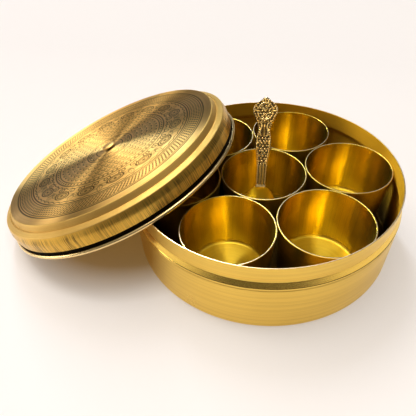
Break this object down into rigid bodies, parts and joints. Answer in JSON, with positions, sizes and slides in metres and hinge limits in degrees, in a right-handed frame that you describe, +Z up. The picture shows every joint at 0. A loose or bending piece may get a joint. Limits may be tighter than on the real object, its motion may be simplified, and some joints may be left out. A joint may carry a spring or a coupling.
{
  "type": "spice box",
  "caption": "Round brass spice box with loose cups inside, a spoon with a cast handle, and a double walled engraved lid leaning on its rim.",
  "frame": {"origin": "bottom centre of the bounding box, on the surface that the box stands on", "axes": "+Z up; +X from the leaning lid to the box; +Y towards the spoon's handle, away from the viewer"},
  "size_m": [0.321, 0.2066, 0.0926],
  "materials": {
    "box_brass": "hand polished, slightly dulled",
    "cup_brass": "turned and polished",
    "lid_brass": "antique, engraved and toned",
    "handle_brass": "cast, recesses darkened",
    "rivet_brass": "polished"
  },
  "bodies": {
    "box": {"box_body": "box_brass"},
    "lid": {"lid_shell": "lid_brass", "lid_liner": "lid_brass", "lid_rivet": "rivet_brass", "lid_washer": "rivet_brass"},
    "centre_cup": {"cup_centre": "cup_brass"},
    "spoon": {"spoon_bowl": "cup_brass", "spoon_handle": "handle_brass"},
    "right_cup": {"cup_right": "cup_brass"},
    "back_right_cup": {"cup_back_right": "cup_brass"},
    "back_left_cup": {"cup_back_left": "cup_brass"},
    "left_cup": {"cup_left": "cup_brass"},
    "front_left_cup": {"cup_front_left": "cup_brass"},
    "front_right_cup": {"cup_front_right": "cup_brass"}
  },
  "joints": [
    {"name": "lid_lift", "type": "slide", "parent": "box", "child": "lid", "axis": [-0.3634, 0, 0.9316], "range_m": [0, 0.09]},
    {"name": "centre_cup_lift", "type": "slide", "parent": "box", "child": "centre_cup", "axis": [0, 0, 1], "range_m": [0, 0.018]},
    {"name": "right_cup_lift", "type": "slide", "parent": "box", "child": "right_cup", "axis": [0, 0, 1], "range_m": [0, 0.06]},
    {"name": "back_right_cup_lift", "type": "slide", "parent": "box", "child": "back_right_cup", "axis": [0, 0, 1], "range_m": [0, 0.0028]},
    {"name": "back_left_cup_lift", "type": "slide", "parent": "box", "child": "back_left_cup", "axis": [0, 0, 1], "range_m": [0, 0.0072]},
    {"name": "left_cup_lift", "type": "slide", "parent": "box", "child": "left_cup", "axis": [0, 0, 1], "range_m": [0, 0.009]},
    {"name": "front_left_cup_lift", "type": "slide", "parent": "box", "child": "front_left_cup", "axis": [0, 0, 1], "range_m": [0, 0.011]},
    {"name": "front_right_cup_lift", "type": "slide", "parent": "box", "child": "front_right_cup", "axis": [0, 0, 1], "range_m": [0, 0.06]},
    {"name": "spoon_draw", "type": "slide", "parent": "centre_cup", "child": "spoon", "axis": [0, 0, 1], "range_m": [0, 0.08]}
  ]
}
